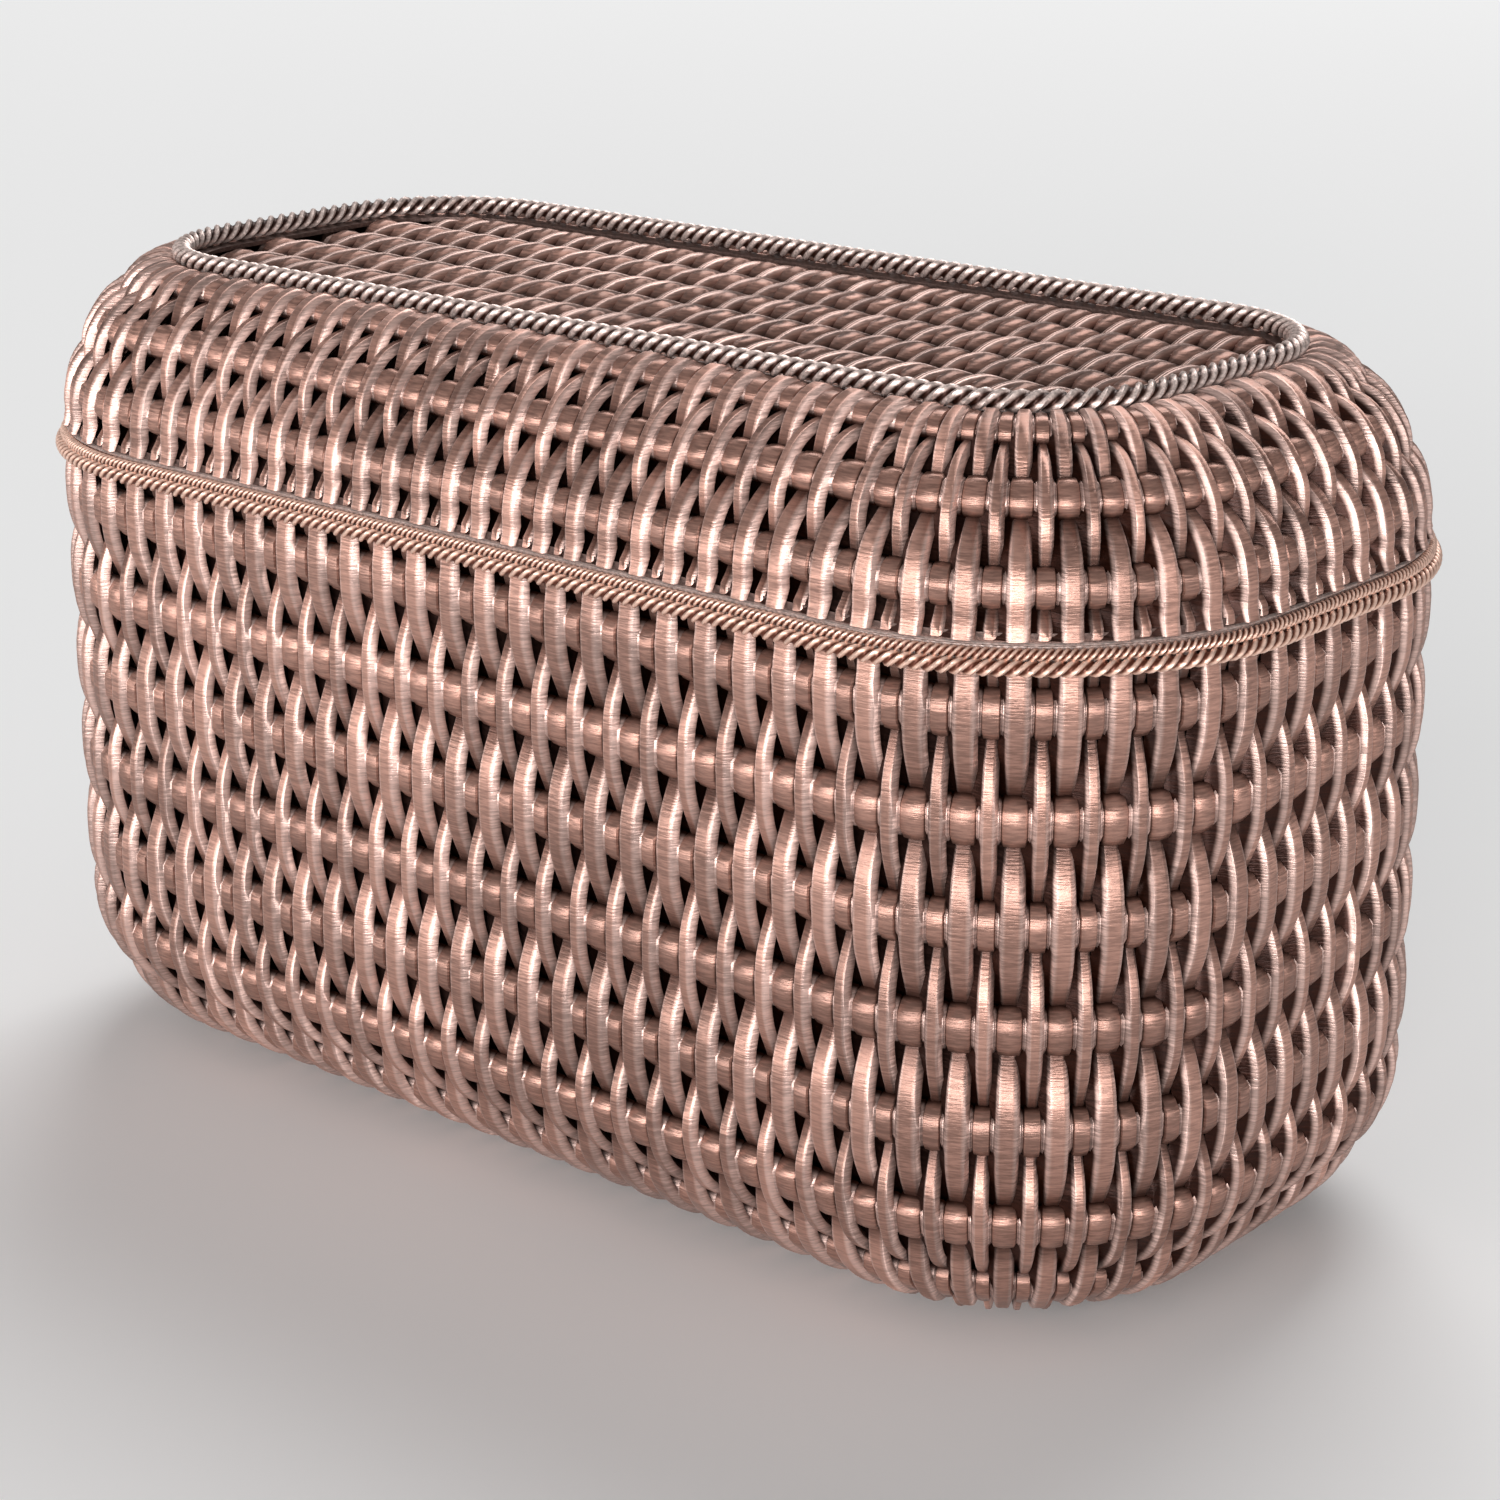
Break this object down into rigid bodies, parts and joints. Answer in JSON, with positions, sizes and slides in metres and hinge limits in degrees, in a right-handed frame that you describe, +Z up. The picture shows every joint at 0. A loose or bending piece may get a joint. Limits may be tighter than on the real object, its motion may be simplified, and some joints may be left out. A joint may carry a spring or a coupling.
{
  "type": "lidded rattan storage basket",
  "caption": "Oblong woven storage basket with rounded ends and foot, a rope-bound rim, and a domed woven lid with a flat rope-ringed top that lifts off.",
  "frame": {"origin": "centre of the underside of the floor panel, on the surface that the basket stands on", "axes": "+X along the length, towards the right end seen from the front; -Y towards the front; +Z up, the way the lid lifts off"},
  "size_m": [0.243, 0.122, 0.1414],
  "materials": {
    "woven_rattan": "satin",
    "copper_rope": "satin"
  },
  "bodies": {
    "basket": {"floor_panel": "woven_rattan", "basket_stakes_corner_front_right": "woven_rattan", "basket_stakes_right": "woven_rattan", "basket_stakes_corner_back_right": "woven_rattan", "basket_stakes_back": "woven_rattan", "basket_stakes_corner_back_left": "woven_rattan", "basket_stakes_left": "woven_rattan", "basket_stakes_corner_front_left": "woven_rattan", "basket_stakes_front": "woven_rattan", "basket_weaver_1": "woven_rattan", "basket_weaver_2": "woven_rattan", "basket_weaver_3": "woven_rattan", "basket_weaver_4": "woven_rattan", "basket_weaver_5": "woven_rattan", "basket_weaver_6": "woven_rattan", "basket_weaver_7": "woven_rattan", "rim_rope": "copper_rope"},
    "lid": {"lid_stakes_corner_front_right": "woven_rattan", "lid_stakes_right": "woven_rattan", "lid_stakes_corner_back_right": "woven_rattan", "lid_stakes_back": "woven_rattan", "lid_stakes_corner_back_left": "woven_rattan", "lid_stakes_left": "woven_rattan", "lid_stakes_corner_front_left": "woven_rattan", "lid_stakes_front": "woven_rattan", "lid_weaver_1": "woven_rattan", "lid_weaver_2": "woven_rattan", "lid_weaver_3": "woven_rattan", "lid_top_strips": "woven_rattan", "lid_top_weaver_1": "woven_rattan", "lid_top_weaver_2": "woven_rattan", "lid_top_weaver_3": "woven_rattan", "lid_top_weaver_4": "woven_rattan", "lid_top_weaver_5": "woven_rattan", "lid_top_weaver_6": "woven_rattan", "top_rope": "copper_rope"}
  },
  "joints": [
    {"name": "lid_lift", "type": "slide", "parent": "basket", "child": "lid", "axis": [0, 0, 1], "range_m": [0, 0.08]}
  ]
}
